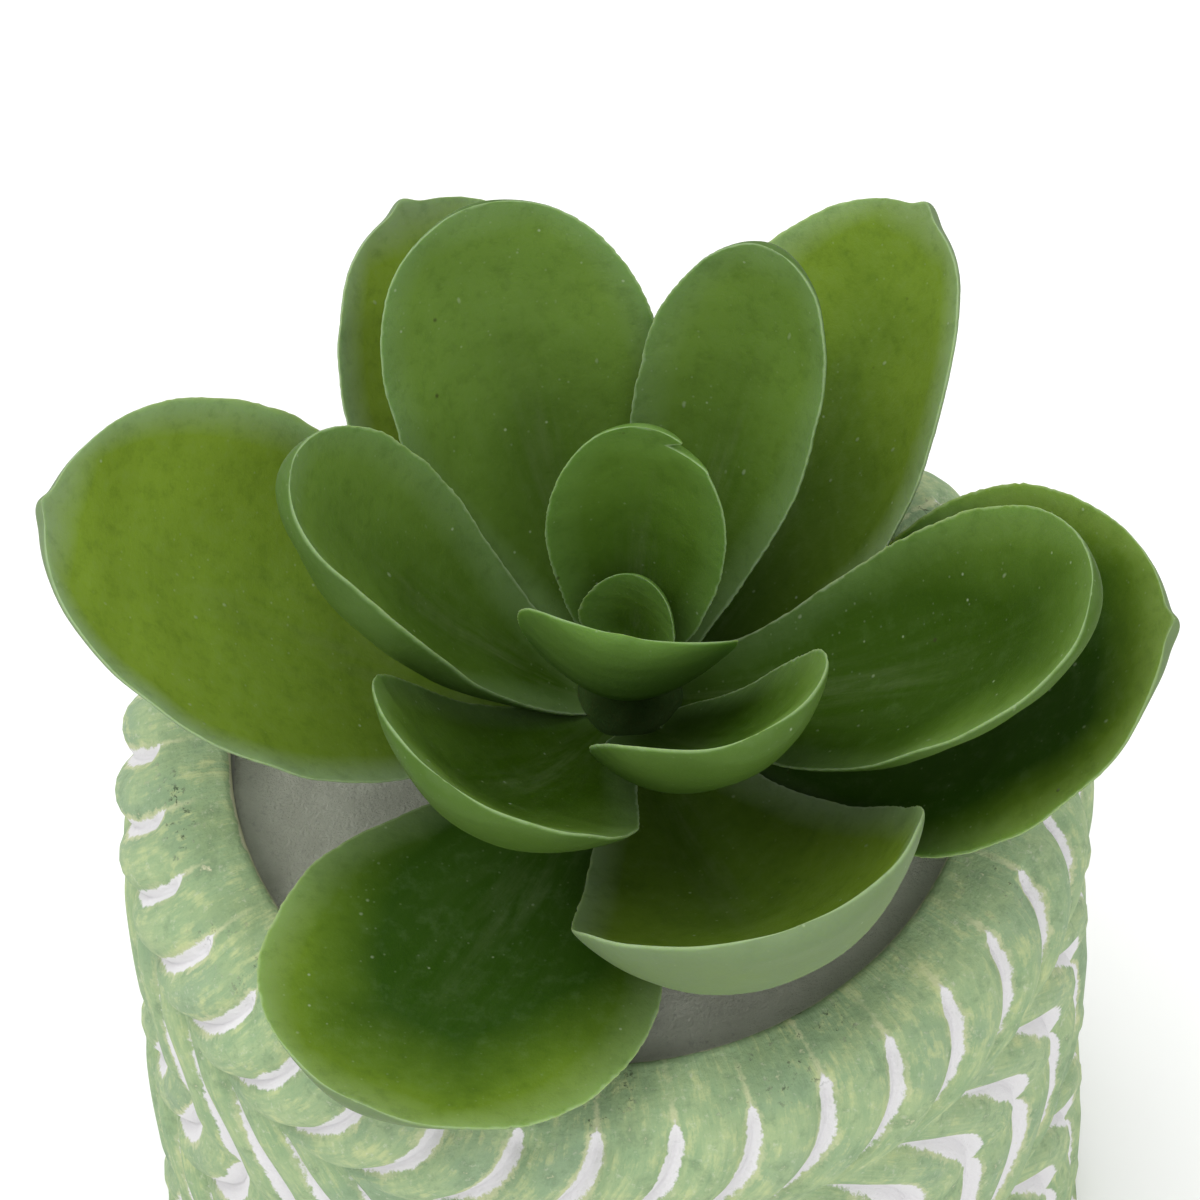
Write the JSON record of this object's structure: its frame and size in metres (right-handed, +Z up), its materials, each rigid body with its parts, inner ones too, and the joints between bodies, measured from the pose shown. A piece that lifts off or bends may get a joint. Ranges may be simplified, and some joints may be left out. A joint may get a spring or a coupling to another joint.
{
  "type": "potted succulent",
  "caption": "Rosette of thick spoon-shaped leaves on a short stem, set in the filling of a round painted pot with a herringbone relief.",
  "frame": {"origin": "centre of the flat base of the pot", "axes": "+Z up out of the pot's mouth, +X towards the side that the plant leans to, -Y towards the front"},
  "size_m": [0.0893, 0.0797, 0.1211],
  "materials": {
    "painted_pot": "cement or ceramic with a sage green hand-painted wash, white left in the grooves of the relief",
    "filling": "pale grey cement-like filling, fine grained and dull",
    "stem": "dull green moulded stem",
    "outer_leaf": "waxy satin olive green, lighter and slightly translucent towards the edges",
    "middle_leaf": "waxy satin mid green, paler at the edges",
    "inner_leaf": "waxy satin fresh green, paler at the edges"
  },
  "bodies": {
    "root": {"pot": "painted_pot", "filling": "filling", "stem": "stem", "leaf_outer_1": "outer_leaf", "leaf_outer_2": "outer_leaf", "leaf_outer_3": "outer_leaf", "leaf_outer_4": "outer_leaf", "leaf_outer_5": "outer_leaf", "leaf_outer_6": "outer_leaf", "leaf_middle_1": "middle_leaf", "leaf_middle_2": "middle_leaf", "leaf_middle_3": "middle_leaf", "leaf_middle_4": "middle_leaf", "leaf_middle_5": "middle_leaf", "leaf_middle_6": "middle_leaf", "leaf_inner_1": "inner_leaf", "leaf_inner_2": "inner_leaf", "leaf_heart_1": "inner_leaf"}
  },
  "joints": []
}
